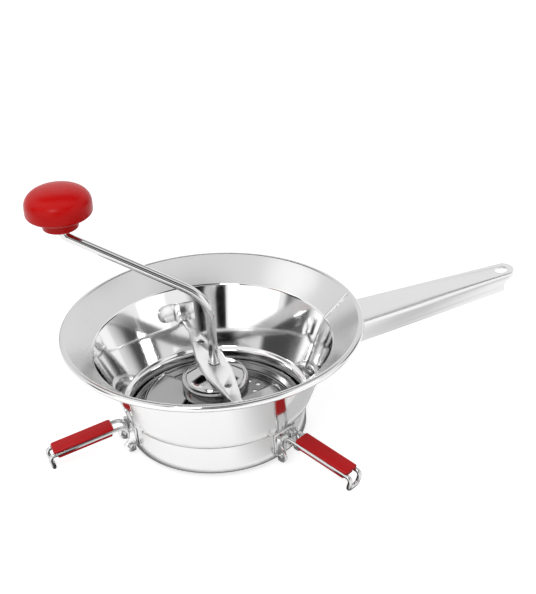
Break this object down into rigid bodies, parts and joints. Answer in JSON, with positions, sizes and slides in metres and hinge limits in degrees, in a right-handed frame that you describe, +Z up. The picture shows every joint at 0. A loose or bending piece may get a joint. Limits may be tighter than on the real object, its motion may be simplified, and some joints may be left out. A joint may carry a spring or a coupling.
{
  "type": "food mill",
  "caption": "Hand-cranked food mill: flared steel bowl, perforated disc, screw-shaped blade under a sprung bridge, bent crank with turning knob, channel handle and folding wire feet.",
  "frame": {"origin": "middle of the bounding box at the level where the feet stand", "axes": "+X along the handle, away from the bowl; +Z up, along the crank's axis"},
  "size_m": [0.4056, 0.2526, 0.2116],
  "materials": {
    "polished_steel": "polished stainless steel sheet, satin outside",
    "satin_steel": "satin stainless steel sheet",
    "bright_rod": "bright plated steel rod",
    "spring_wire": "bright plated spring wire",
    "knob_red": "glossy red moulded plastic",
    "grip_red": "soft-gloss red moulded plastic"
  },
  "bodies": {
    "frame": {"bowl": "polished_steel", "handle": "satin_steel", "clip_back": "satin_steel", "clip_front": "satin_steel", "disc": "polished_steel", "foot_bracket_left": "satin_steel", "foot_bracket_right": "satin_steel", "foot_bracket_back": "satin_steel"},
    "bridge_body": {"bridge": "satin_steel"},
    "crank": {"crank_rod": "bright_rod", "blade": "polished_steel", "blade_nut": "bright_rod", "spring": "spring_wire", "spring_cover": "polished_steel", "cover_spacer": "satin_steel"},
    "knob_body": {"knob": "knob_red"},
    "foot_left": {"foot_wire_left": "spring_wire", "foot_grip_left": "grip_red"},
    "foot_right": {"foot_wire_right": "spring_wire", "foot_grip_right": "grip_red"},
    "foot_back": {"foot_wire_back": "spring_wire", "foot_grip_back": "grip_red"}
  },
  "joints": [
    {"name": "bridge_turn", "type": "hinge", "parent": "frame", "child": "bridge_body", "pos_m": [-0.06078, 0, 0.0619], "axis": [0, 0, 1], "range_deg": [-25, 0]},
    {"name": "crank_turn", "type": "hinge", "parent": "bridge_body", "child": "crank", "pos_m": [-0.06078, 0, 0.0399], "axis": [0, 0, 1], "continuous": true},
    {"name": "knob_spin", "type": "hinge", "parent": "crank", "child": "knob_body", "pos_m": [-0.15933, 0.0569, 0.1899], "axis": [0, 0, 1], "continuous": true},
    {"name": "foot_left_fold", "type": "hinge", "parent": "frame", "child": "foot_left", "pos_m": [-0.13628, 0, 0.0094], "axis": [0, -1, 0], "range_deg": [0, 150]},
    {"name": "foot_right_fold", "type": "hinge", "parent": "frame", "child": "foot_right", "pos_m": [-0.02303, -0.06538, 0.0094], "axis": [0.866, 0.5, 0], "range_deg": [0, 150]},
    {"name": "foot_back_fold", "type": "hinge", "parent": "frame", "child": "foot_back", "pos_m": [-0.02303, 0.06538, 0.0094], "axis": [-0.866, 0.5, 0], "range_deg": [0, 150]}
  ]
}
